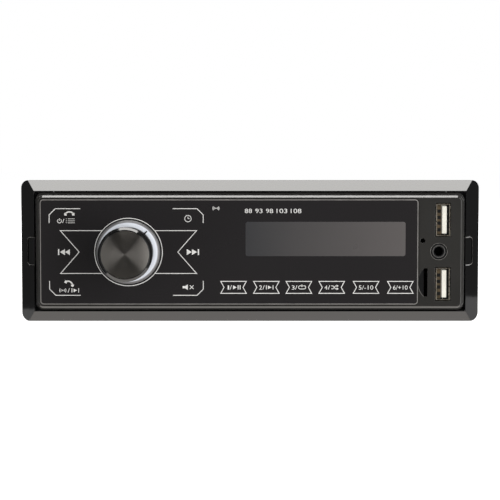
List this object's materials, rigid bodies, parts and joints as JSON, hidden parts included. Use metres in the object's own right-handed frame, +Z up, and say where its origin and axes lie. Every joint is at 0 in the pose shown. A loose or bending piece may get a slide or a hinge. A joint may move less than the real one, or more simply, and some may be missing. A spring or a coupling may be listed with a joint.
{
  "type": "car radio",
  "caption": "Single-slot car radio in its mounting sleeve: glossy touch panel, push-and-turn knob with a light ring, and USB, audio and memory-card sockets on the right.",
  "frame": {"origin": "centre of the dashboard opening, in the plane of the dashboard's face", "axes": "+X to the right seen from the front, +Y into the dashboard, so the radio faces -Y, +Z up"},
  "size_m": [0.188, 0.106, 0.0576],
  "materials": {
    "piano_black": "polished",
    "housing_black": "semi-gloss",
    "lens_black": "polished",
    "clear_smoke": "smooth",
    "milky_diffuser": "frosted",
    "dark_chrome": "polished",
    "spun_metal": "spun",
    "black_plastic": "moulded",
    "white_plastic": "moulded",
    "galvanised_steel": "galvanised",
    "nickel_plate": "plated",
    "aluminium": "extruded",
    "green_board": "solder mask on glass fibre",
    "brass": "bright",
    "rubber": "matte",
    "copper_wire": "enamelled",
    "can_blue": "sleeved",
    "fuse_blue": "translucent"
  },
  "bodies": {
    "sleeve": {"mounting_sleeve": "galvanised_steel"},
    "radio": {"amplifier_chip": "black_plastic", "amplifier_clamp": "galvanised_steel", "antenna_contact": "white_plastic", "antenna_socket": "nickel_plate", "aux_jack": "black_plastic", "blade_fuse": "fuse_blue", "card_board": "green_board", "card_socket": "nickel_plate", "chassis_cover": "galvanised_steel", "chassis_tray": "galvanised_steel", "clamp_screw": "galvanised_steel", "display_backlight": "milky_diffuser", "display_glass": "clear_smoke", "display_holder": "white_plastic", "encoder_body": "black_plastic", "encoder_push_dome": "galvanised_steel", "front_bracket": "galvanised_steel", "front_circuit_board": "green_board", "front_housing": "housing_black", "front_screw_left": "galvanised_steel", "front_screw_right": "galvanised_steel", "fuse_holder": "black_plastic", "harness_pins": "brass", "harness_socket": "black_plastic", "heat_sink": "aluminium", "heat_sink_screw_1": "galvanised_steel", "heat_sink_screw_2": "galvanised_steel", "infrared_receiver": "black_plastic", "lens_panel": "lens_black", "light_ring": "milky_diffuser", "line_out_sockets": "black_plastic", "link_header": "white_plastic", "link_socket": "black_plastic", "main_circuit_board": "green_board", "microphone": "rubber", "output_capacitor": "can_blue", "processor_chip": "black_plastic", "rear_cover_screw_1": "galvanised_steel", "rear_cover_screw_2": "galvanised_steel", "rear_stud": "galvanised_steel", "side_cover_screw_left": "galvanised_steel", "side_cover_screw_right": "galvanised_steel", "stud_bush": "rubber", "supply_capacitor": "can_blue", "supply_choke": "copper_wire", "touch_film": "clear_smoke", "trim_ring": "piano_black", "tuner_can": "galvanised_steel", "usb_shell_lower": "nickel_plate", "usb_shell_upper": "nickel_plate", "usb_tongue_lower": "white_plastic", "usb_tongue_upper": "white_plastic", "wireless_module": "aluminium"},
    "encoder_rotor": {"encoder_rotor": "white_plastic"},
    "knob": {"knob_shell": "dark_chrome", "knob_disc": "spun_metal", "knob_core": "black_plastic", "encoder_shaft": "aluminium"},
    "card_carriage": {"card_carriage": "black_plastic"}
  },
  "joints": [
    {"name": "unit_slide", "type": "slide", "parent": "sleeve", "child": "radio", "axis": [0, -1, 0], "range_m": [0, 0.05]},
    {"name": "knob_spin", "type": "hinge", "parent": "radio", "child": "encoder_rotor", "pos_m": [-0.0491, -0.02, 0], "axis": [0, 1, 0], "continuous": true},
    {"name": "knob_push", "type": "slide", "parent": "encoder_rotor", "child": "knob", "axis": [0, 1, 0], "range_m": [0, 0.0005], "stiffness_N_per_m": 800, "springref_m": -0.002},
    {"name": "card_push", "type": "slide", "parent": "radio", "child": "card_carriage", "axis": [0, 1, 0], "range_m": [0, 0.0012], "stiffness_N_per_m": 200, "springref_m": -0.002}
  ]
}
